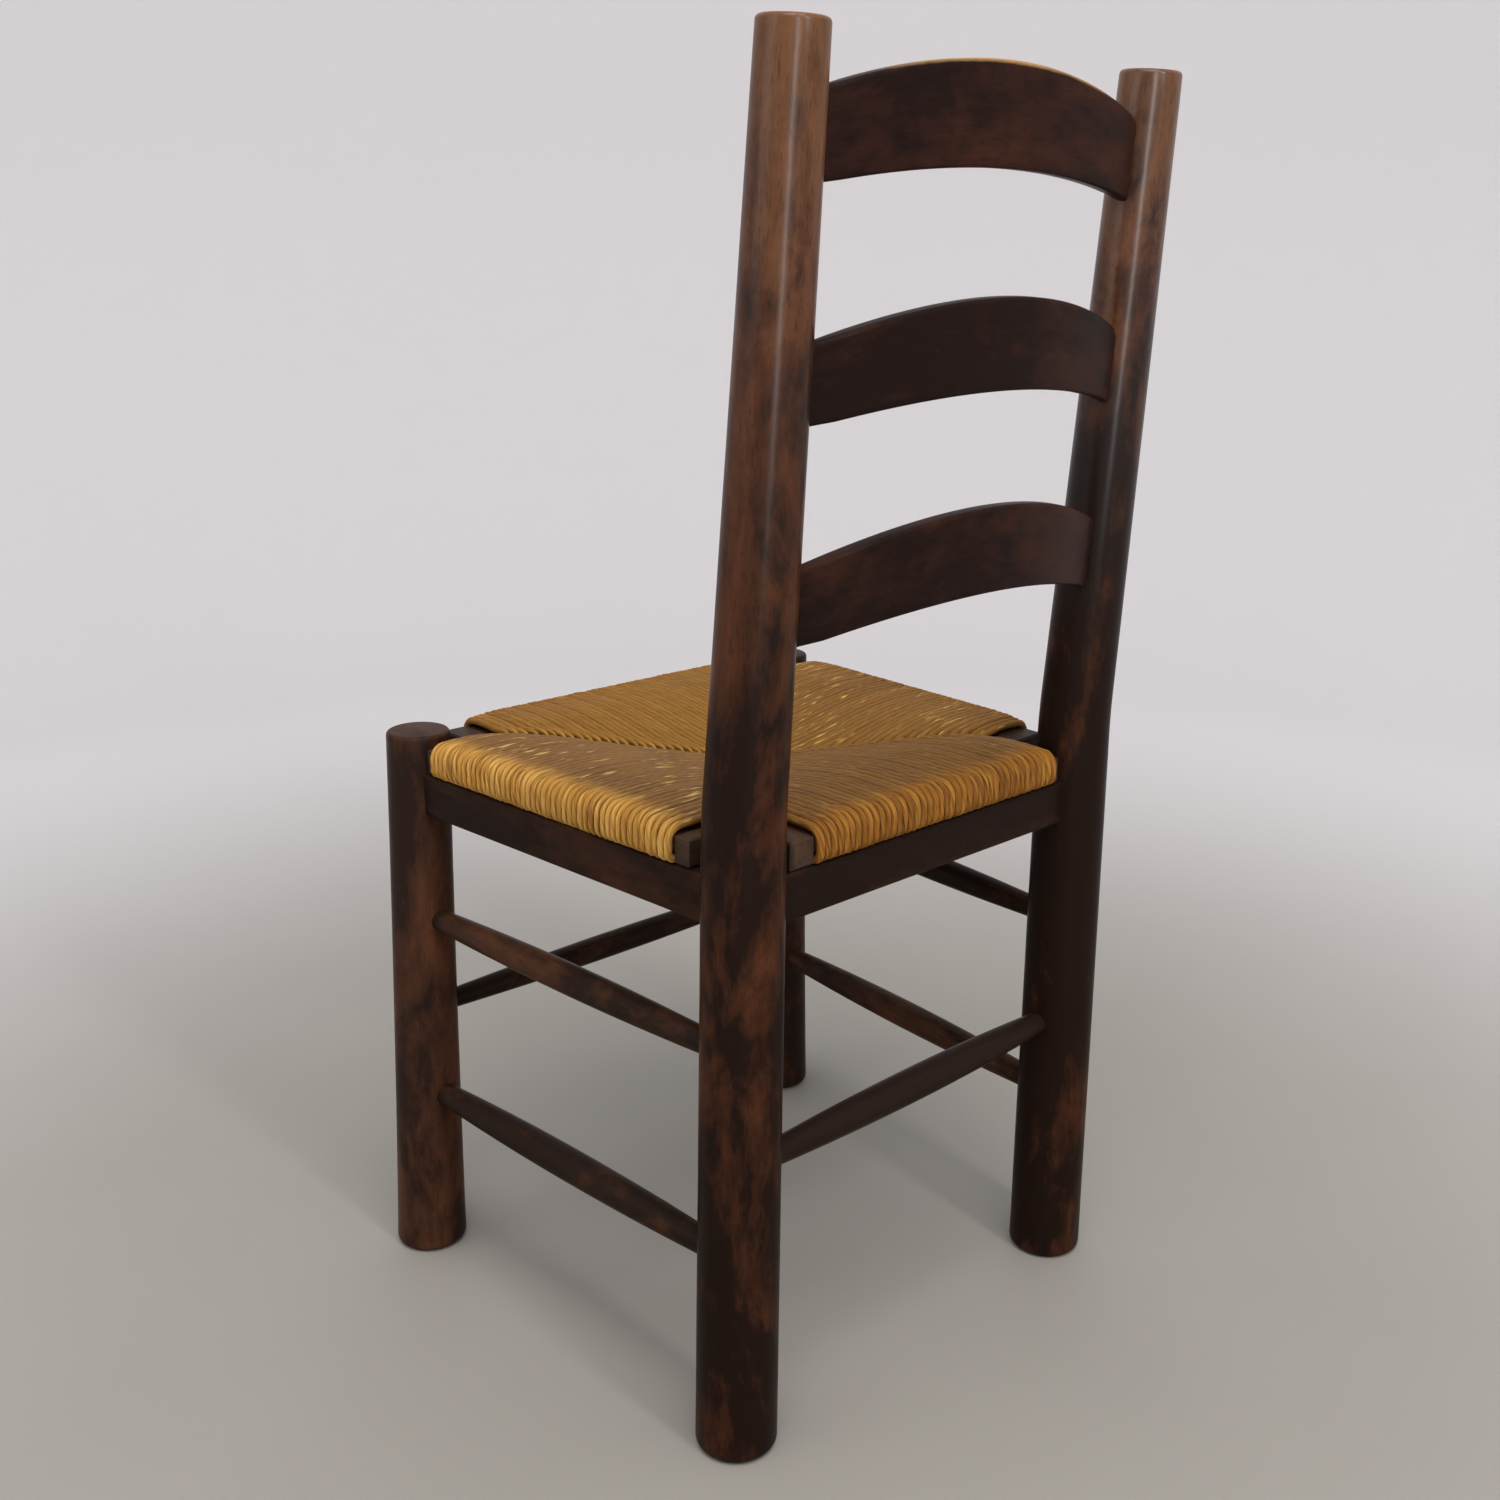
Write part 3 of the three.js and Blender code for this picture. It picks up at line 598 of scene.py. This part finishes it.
# ------------------------------------------------------------------ seat blocks and rails
# The drop-in seat is a loose frame: a flat notched block in each corner, which shows between
# the rush and the post, and four rails between the blocks, hidden in the rush.
BLOCK_EDGE = 0.0008
BLOCK_RUB = 0.2
BLOCK_CREASE = math.radians(30)
RAIL_BUMP = 0.2
RAIL_GRAIN_DEPTH = 0.0005

block_finish = stained_wood("block_stain", dark=(0.026, 0.017, 0.013), warm=(0.070, 0.040, 0.024),
                            bare=(0.15, 0.095, 0.06), blotch=18, thin=0.42, shine=0.03)
for seed, corner in enumerate(("rear_left", "rear_right", "front_left", "front_right"), 50):
    name = f"seat_block_{corner}"
    bm = bmesh.new()
    bm.from_mesh(frame["nodes"][name].data)
    bmesh.ops.remove_doubles(bm, verts=bm.verts, dist=MERGE_DISTANCE)
    bmesh.ops.dissolve_limit(bm, angle_limit=math.radians(1), verts=bm.verts, edges=bm.edges)
    mark_timber(bm, seed)
    layer = bm.verts.layers.float_vector["timber"]
    for vert in bm.verts:
        vert[layer] = vert[layer].xzy
    mark_rub(bm, lambda co: BLOCK_RUB)
    block = link(bm, f"notched_{name}", smooth=False)
    bevel = block.modifiers.new("eased edges", "BEVEL")
    bevel.width = BLOCK_EDGE
    bevel.segments = 2
    bevel.limit_method = "ANGLE"
    bevel.angle_limit = BLOCK_CREASE
    block.data.materials.append(block_finish)
    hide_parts(name)
    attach(block, "seat")

rail_finish, tree, shader, add = new_material("seat_rail_stain")
place = add("ShaderNodeTexCoord").outputs["Object"]
finish = add("ShaderNodeGroup", {"Timber": place}, node_tree=stain)
tree.links.new(finish.outputs["Color"], shader.inputs["Base Color"])
tree.links.new(finish.outputs["Roughness"], shader.inputs["Roughness"])
bump = add("ShaderNodeBump", {"Height": finish.outputs["Height"], "Strength": RAIL_BUMP,
                              "Distance": RAIL_GRAIN_DEPTH})
tree.links.new(bump.outputs["Normal"], shader.inputs["Normal"])
for word in ("front", "rear", "left", "right"):
    rail = frame["nodes"][f"seat_rail_{word}"]
    rail.data.materials.clear()
    rail.data.materials.append(rail_finish)

# ------------------------------------------------------------------ rush seat
# Hand-twisted rush cord, wound over each rail in turn, so that four fields of strands meet
# along the diagonals. Each field is its own piece; each strand runs over its rail and under.
STRAND_PITCH = {"rear": 0.0061, "front": 0.0053, "left": 0.0058, "right": 0.0058}
STRAND_THICKNESS = 0.0058
STRAND_SIDES = 10
RING_SPACING = 0.0032
TWIST_PITCH = 0.024
FIBRE_BUMP = 0.55
FIBRE_DEPTH = 0.0007
RUSH_SPECULAR = 0.12
EDGE_REACH = 0.0032
TOP_CENTRE = 0.4568
UNDER_CENTRE = 0.4335
UPPER_ROUNDING = 0.0095
LOWER_ROUNDING = 0.0045
SIDE_NARROWING = 0.0657
SAG = 0.018
SAG_UNDER = 0.006
SAG_FROM = 0.040
SAG_TO = 0.190
STUFFING_RISE = 0.0018
SHOULDER_RISE = 0.0012
UNDER_SHORTER = 0.003
SHORTEST_INWARD = 0.028
HALF_WIDTH_SHARE = 0.54
STRAND_LIFT = 0.00022
STRAND_WOBBLE = 0.0003
PLY_BULGE = 0.05
FLATTENED = 0.75
OVER_THE_EDGE = 0.004
SAT_ON_OVER = 0.022
STRAND_MAP_WIDTH = 0.018
END_THINNESS = 0.52
END_TAPER_FROM = 0.006
END_TAPER = 0.009
POCKET_TUCK = 0.0023
POCKET_STRANDS = 5
SEAM_REACH = 0.013
# How far strands run past the diagonal, rise before it and dive behind it, sweep sideways along
# it, and are darkened by painted shade beneath the strands over them. The rear and front fields lie over
# the others.
SEAM_OVER = {"past": 0.007, "rise": 0.0018, "dive": 0.0055, "sweep": 0.0055, "painted_shade_under": 0.0}
SEAM_UNDER = {"past": 0.001, "rise": -0.0012, "dive": 0.0065, "sweep": 0.0, "painted_shade_under": 0.014}
# Distance beyond a strand's inner end, with the share of its rise and of its dive there.
STRAND_END = ((-0.0015, 0.0, 1.0), (0.0008, 0.2, 0.62), (0.0035, 0.8, 0.14), (0.0065, 1.0, 0.0),
              (SEAM_REACH, 0.3, 0.0))
# Name, direction out of the seat, the corners it runs between, and how it meets the diagonals.
FIELDS = (
    ("rear", Vector((0, 1, 0)), "rear_left", "rear_right", SEAM_OVER),
    ("front", Vector((0, -1, 0)), "front_right", "front_left", SEAM_OVER),
    ("left", Vector((1, 0, 0)), "front_left", "rear_left", SEAM_UNDER),
    ("right", Vector((-1, 0, 0)), "rear_right", "front_right", SEAM_UNDER),
)
# Straw, golden, brown and glaze colours, share of pale flecks, and how far the glaze covers.
RUSH_COLOURS = {
    "rear": ((0.46, 0.235, 0.042), (0.245, 0.096, 0.0115), (0.080, 0.025, 0.0040),
             (0.122, 0.056, 0.0100), 0.35, 0.70),
    "front": ((0.44, 0.235, 0.040), (0.262, 0.112, 0.0125), (0.118, 0.043, 0.0056),
              (0.200, 0.092, 0.0130), 0.20, 0.55),
    "left": ((0.68, 0.46, 0.148), (0.460, 0.228, 0.041), (0.180, 0.070, 0.0130),
             (0.165, 0.077, 0.0220), 0.62, 0.95),
    "right": ((0.58, 0.36, 0.085), (0.248, 0.106, 0.0150), (0.108, 0.037, 0.0056),
              (0.178, 0.079, 0.0130), 0.90, 0.75),
}
# The left field's strand at this depth is narrower, which parts it from its neighbours.
PARTING = 0.043
PARTING_WIDTH = 0.0022

random.seed(740)
rear_left_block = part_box("seat_block_rear_left")
rear_right_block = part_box("seat_block_rear_right")
front_left_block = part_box("seat_block_front_left")
front_right_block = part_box("seat_block_front_right")
pockets = {
    "rear_left": Vector((rear_left_block[0].x, rear_left_block[0].y, 0)),
    "rear_right": Vector((rear_right_block[1].x, rear_right_block[0].y, 0)),
    "front_left": Vector((front_left_block[0].x, front_left_block[1].y, 0)),
    "front_right": Vector((front_right_block[1].x, front_right_block[1].y, 0)),
}
rear_edge = rear_left_block[1].y
front_edge = front_left_block[0].y
seat_centre = Vector((-0.003, -0.010, 0))


def side_edge(y):
    """Half width of the seat's wooden frame at a depth."""
    return rear_left_block[1].x - SIDE_NARROWING * (y - rear_left_block[0].y)


def along_path(outline, spacing):
    """Evenly spaced points, each with its distance, along a line of points."""
    lengths = [(b - a).length for a, b in zip(outline, outline[1:])]
    total = sum(lengths)
    count = max(8, round(total / spacing))
    points = []
    leg, before = 0, 0.0
    for step in range(count + 1):
        distance = total * step / count
        while leg < len(lengths) - 1 and before + lengths[leg] < distance:
            before += lengths[leg]
            leg += 1
        share = (distance - before) / lengths[leg]
        points.append((outline[leg].lerp(outline[leg + 1], min(1.0, share)), distance))
    return points


def sagging(inward):
    """Share of the full sag at a distance in from the edge of the seat, from 0 to 1."""
    share = max(0.0, min(1.0, (inward - SAG_FROM) / (SAG_TO - SAG_FROM)))
    return share * share * (3 - 2 * share)


def strand_outline(inner, seam):
    """Side view of one strand as (outward, height): from its upper inner end, over and under."""
    points = []
    reach = EDGE_REACH - UPPER_ROUNDING
    for beyond, raised, dived in STRAND_END:
        out = inner + beyond
        height = TOP_CENTRE + seam["rise"] * raised - seam["dive"] * dived
        points.append(Vector((out, height - SAG * sagging(-out))))
    for step in range(1, 12):
        out = points[4].x + (reach - points[4].x) * step / 12
        if out > points[-1].x + 0.004:
            stuffing = STUFFING_RISE * math.sin(math.pi * step / 15)
            points.append(Vector((out, TOP_CENTRE + stuffing - SAG * sagging(-out))))
    for step in range(7):
        turn = math.radians(90 * step / 6)
        points.append(Vector((reach + UPPER_ROUNDING * math.sin(turn),
                              TOP_CENTRE + SHOULDER_RISE - UPPER_ROUNDING * (1 - math.cos(turn)))))
    for step in range(5):
        turn = math.radians(90 * step / 4)
        points.append(Vector((EDGE_REACH - LOWER_ROUNDING * (1 - math.cos(turn)),
                              UNDER_CENTRE + LOWER_ROUNDING * (1 - math.sin(turn)))))
    inner_under = inner + UNDER_SHORTER
    for step in range(1, 9):
        out = EDGE_REACH - LOWER_ROUNDING + (inner_under - EDGE_REACH + LOWER_ROUNDING) * step / 8
        points.append(Vector((out, UNDER_CENTRE - SAG_UNDER * sagging(-out))))
    points.append(points[-1] + Vector((-0.004, 0.003)))
    return points


def add_strand(bm, layers, edge, outward, inner, seam, sideways, half_width, exposed, tuck):
    """One twisted strand: a grid rolled into a tube along its path, with its marks: its tone, its wear,
    painted shade and a painted highlight. Sideways is the direction its inner end sweeps, exposed that of a
    side with no neighbour, 1, -1 or 0, where the painted shade is kept light."""
    lateral = Vector((-outward.y, outward.x, 0))
    sweep, painted_shade_under = seam["sweep"] * sideways, seam["painted_shade_under"]
    points = along_path(strand_outline(inner, seam), RING_SPACING)
    rings = len(points)
    total = points[-1][1]
    tone, phase = random.random(), random.random() * 10
    lift = random.gauss(0, STRAND_LIFT)
    grid = bmesh.ops.create_grid(bm, x_segments=rings + 1, y_segments=STRAND_SIDES, size=1, calc_uvs=True)
    verts = grid["verts"]
    for vert in verts:
        ring = min(rings + 1, round((vert.co.x + 1) / 2 * (rings + 1)))
        turn = (vert.co.y + 1) * math.pi
        index = min(max(ring - 1, 0), rings - 1)
        here, distance = points[index]
        ahead, behind = points[min(index + 1, rings - 1)][0], points[max(index - 1, 0)][0]
        tangent = (ahead - behind).normalized()
        normal = Vector((-tangent.y, tangent.x))
        from_end = min(distance, total - distance)
        fullness = max(0.0, min(1.0, (from_end - END_TAPER_FROM) / END_TAPER))
        shrink = END_THINNESS + (1 - END_THINNESS) * fullness
        if ring in (0, rings + 1):
            shrink = 0.0
        inward = -here.x
        over_edge = inward < OVER_THE_EDGE
        wobble = STRAND_WOBBLE * noise.noise(Vector((distance * 22 + phase * 7, phase, 0)))
        ply = 1 + PLY_BULGE * math.cos(2 * turn - 2 * math.pi * distance / TWIST_PITCH * 2 + phase)
        across = math.cos(turn)
        if not over_edge:
            across = math.copysign(abs(across) ** FLATTENED, across)
        bend = sweep * max(0.0, 1 - distance / SEAM_REACH) ** 1.4
        along = here.x + STRAND_THICKNESS / 2 * shrink * ply * math.sin(turn) * normal.x
        place = edge + outward * along + lateral * (half_width * shrink * ply * across + wobble + bend)
        place.z = here.y + STRAND_THICKNESS / 2 * shrink * ply * math.sin(turn) * normal.y
        on_top = here.y > UNDER_CENTRE + 0.006
        place.z += lift * (not over_edge) - tuck * on_top
        vert.co = place
        # Each strand's own random tone, plus a painted highlight that makes the tops of its inner end
        # paler.
        vert[layers["strand"]] = tone + (2.4 * (1 - fullness) if on_top and not painted_shade_under else 0)
        # Painted shade: dark on the strand's underside and in the grooves between strands, and dark at its
        # very end.
        groove = max(0.0, math.sin(turn)) if from_end > 0.002 else 0.2
        # Towards the inner end of a top strand the painted shade deepens, so that only its very top stays
        # bright.
        if on_top:
            groove = groove ** (3.4 - 2.4 * fullness)
        # Painted shade beneath the strands that lie over this one near the seam.
        groove *= min(1.0, distance / painted_shade_under) if painted_shade_under else 1
        # A side with no neighbour is left light, with little painted shade.
        if exposed * math.cos(turn) > 0:
            groove = max(groove, 0.75)
        vert[layers["groove"]] = groove
        # How far the strand is sat on: this glazes the rush and lessens the painted shade, and it fades to
        # none at the strand's ends.
        vert[layers["worn"]] = max(0.0, min(1.0, (inward + 0.001) / SAT_ON_OVER)) * on_top * fullness
    uv = bm.loops.layers.uv["strand_map"]
    shift = Vector((random.random() * 3, random.random() * 3))
    for face in {face for vert in verts for face in vert.link_faces}:
        for loop in face.loops:
            u, v = loop[uv].uv
            loop[uv].uv = Vector((u * total, v * STRAND_MAP_WIDTH)) + shift


rush_look = bpy.data.node_groups.new("twisted_rush", "ShaderNodeTree")
group_sockets(
    rush_look,
    [("Along", "Vector", None), ("Place", "Vector", None), ("Strand", "Float", 0.5),
     ("Groove", "Float", 1.0), ("Worn", "Float", 0.0), ("Flecks", "Float", 0.5),
     ("Glazed to", "Float", 0.5),
     ("Straw", "Color", (0.6, 0.4, 0.13, 1)), ("Golden", "Color", (0.34, 0.18, 0.045, 1)),
     ("Brown", "Color", (0.12, 0.055, 0.016, 1)), ("Glaze", "Color", (0.20, 0.115, 0.045, 1))],
    [("Color", "Color"), ("Roughness", "Float"), ("Height", "Float")])
add = node_maker(rush_look)
given = add("NodeGroupInput").outputs
split = add("ShaderNodeSeparateXYZ", {0: given["Along"]}).outputs
twisted = add("ShaderNodeMath", {0: split["X"], 1: 0.22, 2: split["Y"]},
              operation="MULTIPLY_ADD").outputs[0]
fibre_place = add("ShaderNodeCombineXYZ", {"X": split["X"], "Y": twisted}).outputs[0]
fibre_scale = add("ShaderNodeVectorMath", {0: fibre_place, 1: (26, 620, 1)},
                  operation="MULTIPLY").outputs[0]
fibres = add("ShaderNodeTexNoise", {"Vector": fibre_scale, "Scale": 1.0, "Detail": 4.0,
                                    "Roughness": 0.6}).outputs["Fac"]
fleck_scale = add("ShaderNodeVectorMath", {0: given["Along"], 1: (52, 460, 1)},
                  operation="MULTIPLY").outputs[0]
fleck_noise = add("ShaderNodeTexNoise", {"Vector": fleck_scale, "Scale": 1.0, "Detail": 1.0}).outputs["Fac"]
patches = add("ShaderNodeTexNoise", {"Vector": given["Place"], "Scale": 17.0, "Detail": 3.0}).outputs["Fac"]
stains = add("ShaderNodeTexNoise", {"Vector": given["Place"], "Scale": 6.5, "Detail": 4.0,
                                    "Distortion": 0.5}).outputs["Fac"]
# The random strand tone and the painted highlight on the strand ends push the fibres towards pale straw.
tone_and_highlight_bias = add("ShaderNodeMath", {0: given["Strand"], 1: 0.13, 2: -0.065},
                  operation="MULTIPLY_ADD").outputs[0]
fibre_tone_and_highlight = add("ShaderNodeMath", {0: fibres, 1: tone_and_highlight_bias}, operation="ADD").outputs[0]
gold = add("ShaderNodeMapRange", {"Value": fibre_tone_and_highlight, "From Min": 0.28, "From Max": 0.52}).outputs[0]
pale = add("ShaderNodeMapRange", {"Value": fibre_tone_and_highlight, "From Min": 0.53, "From Max": 0.84}).outputs[0]
under = add("ShaderNodeMix", {0: gold, 6: given["Brown"], 7: given["Golden"]}, data_type="RGBA").outputs[2]
fibre_colour = add("ShaderNodeMix", {0: pale, 6: under, 7: given["Straw"]}, data_type="RGBA").outputs[2]
glaze_edge = add("ShaderNodeMath", {0: patches, 1: 0.5, 2: given["Worn"]},
                 operation="MULTIPLY_ADD").outputs[0]
glaze_mask = add("ShaderNodeMapRange", {"Value": glaze_edge, "From Min": 0.35, "From Max": 1.25}).outputs[0]
glaze_mix = add("ShaderNodeMath", {0: glaze_mask, 1: given["Glazed to"]}, operation="MULTIPLY").outputs[0]
polished = add("ShaderNodeMix", {0: glaze_mix, 6: fibre_colour, 7: given["Glaze"]},
               data_type="RGBA").outputs[2]
stain_mask = add("ShaderNodeMapRange", {"Value": stains, "From Min": 0.52, "From Max": 0.75, "To Min": 1.0,
                                        "To Max": 0.72}).outputs[0]
shaded = add("ShaderNodeVectorMath", {0: polished, 3: stain_mask}, operation="SCALE").outputs[0]
fleck_lift = add("ShaderNodeMath", {0: patches, 1: 0.35, 2: fleck_noise},
                 operation="MULTIPLY_ADD").outputs[0]
fleck_mask = add("ShaderNodeMapRange", {"Value": fleck_lift, "From Min": 0.81, "From Max": 0.92}).outputs[0]
fleck_mix = add("ShaderNodeMath", {0: fleck_mask, 1: given["Flecks"]}, operation="MULTIPLY").outputs[0]
flecked = add("ShaderNodeMix", {0: fleck_mix, 6: shaded, 7: given["Straw"]}, data_type="RGBA").outputs[2]
# Painted shade: the colour is darkened in the grooves and under the strands, less where a strand is worn
# flat.
worn_shade_floor = add("ShaderNodeMapRange", {"Value": given["Worn"], "To Min": 0.14, "To Max": 0.80}).outputs[0]
depth = add("ShaderNodeMapRange", {"Value": given["Groove"], "From Min": 0.0, "From Max": 0.80,
                                   "To Min": worn_shade_floor, "To Max": 1.0}).outputs[0]
groove_shaded = add("ShaderNodeVectorMath", {0: flecked, 3: depth}, operation="SCALE").outputs[0]
smooth = add("ShaderNodeMapRange", {"Value": glaze_mask, "To Min": 0.66, "To Max": 0.46}).outputs[0]
rough = add("ShaderNodeMath", {0: fibres, 1: 0.12, 2: smooth}, operation="MULTIPLY_ADD").outputs[0]
add("NodeGroupOutput", {"Color": groove_shaded, "Roughness": rough, "Height": fibres})


def rush_material(name, straw, golden, brown, glaze, flecks, glazed_to):
    """Twisted rush: fibres along each strand, painted shade in the grooves and a painted highlight on the
    strand ends, a brown polish where sat on.
    """
    material, tree, shader, add = new_material(name)
    given = {"Along": add("ShaderNodeUVMap", uv_map="strand_map").outputs["UV"],
             "Place": add("ShaderNodeTexCoord").outputs["Object"],
             "Straw": (*straw, 1), "Golden": (*golden, 1), "Brown": (*brown, 1), "Glaze": (*glaze, 1),
             "Flecks": flecks, "Glazed to": glazed_to}
    for mark in ("Strand", "Groove", "Worn"):
        given[mark] = add("ShaderNodeAttribute", attribute_name=mark.lower()).outputs["Fac"]
    laid = add("ShaderNodeGroup", given, node_tree=rush_look)
    tree.links.new(laid.outputs["Color"], shader.inputs["Base Color"])
    tree.links.new(laid.outputs["Roughness"], shader.inputs["Roughness"])
    bump = add("ShaderNodeBump", {"Height": laid.outputs["Height"], "Strength": FIBRE_BUMP,
                                  "Distance": FIBRE_DEPTH})
    tree.links.new(bump.outputs["Normal"], shader.inputs["Normal"])
    shader.inputs["Specular IOR Level"].default_value = RUSH_SPECULAR
    return material


def inner_distance(point, outward, pocket_a, pocket_b):
    """How far in from the field's edge a strand runs before it meets the diagonal."""
    lateral = Vector((-outward.y, outward.x, 0))
    for pocket in (pocket_a, pocket_b):
        a, b = pocket.dot(lateral), seat_centre.dot(lateral)
        here = point.dot(lateral)
        share = (here - a) / (b - a)
        if 0 <= share <= 1:
            meet = pocket.lerp(seat_centre, share)
            return (point - meet).dot(outward), (1 if pocket is pocket_a else -1)
    return 0.0, 0


for word, outward, first, last, seam in FIELDS:
    bm = bmesh.new()
    layers = {name: bm.verts.layers.float.new(name) for name in ("strand", "groove", "worn")}
    bm.loops.layers.uv.new("strand_map")
    start, end = pockets[first], pockets[last]
    lateral = Vector((-outward.y, outward.x, 0))
    span = (end - start).dot(lateral)
    step_sign = 1 if span > 0 else -1
    count = round(abs(span) / STRAND_PITCH[word])
    pitch = abs(span) / count
    widths = [random.uniform(0.86, 1.14) for _ in range(count)]
    scale = count / sum(widths)
    centre = start.dot(lateral)
    for number, width in enumerate(widths):
        width *= pitch * scale
        centre += step_sign * width / 2
        here = lateral * centre
        if outward.x:
            here += outward * side_edge(here.y)
        else:
            here.y = rear_edge if outward.y > 0 else front_edge
        centre += step_sign * width / 2
        depth_in, which = inner_distance(here, outward, start, end)
        inner = min(-depth_in - seam["past"], -SHORTEST_INWARD)
        from_pocket = min(number, count - 1 - number)
        tuck = POCKET_TUCK * max(0.0, 1 - from_pocket / POCKET_STRANDS) ** 2
        exposed = -step_sign if number == 0 else step_sign if number == count - 1 else 0
        half_width = width * HALF_WIDTH_SHARE
        if word == "left" and abs(here.y - PARTING) < pitch / 2:
            half_width -= PARTING_WIDTH / 2
        add_strand(bm, layers, here, outward, inner, seam, which * step_sign, half_width, exposed, tuck)
    field = link(bm, f"rush_strands_{word}")
    field.data.materials.append(rush_material(f"rush_{word}", *RUSH_COLOURS[word]))
    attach(field, "seat")
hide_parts("rush_weave")
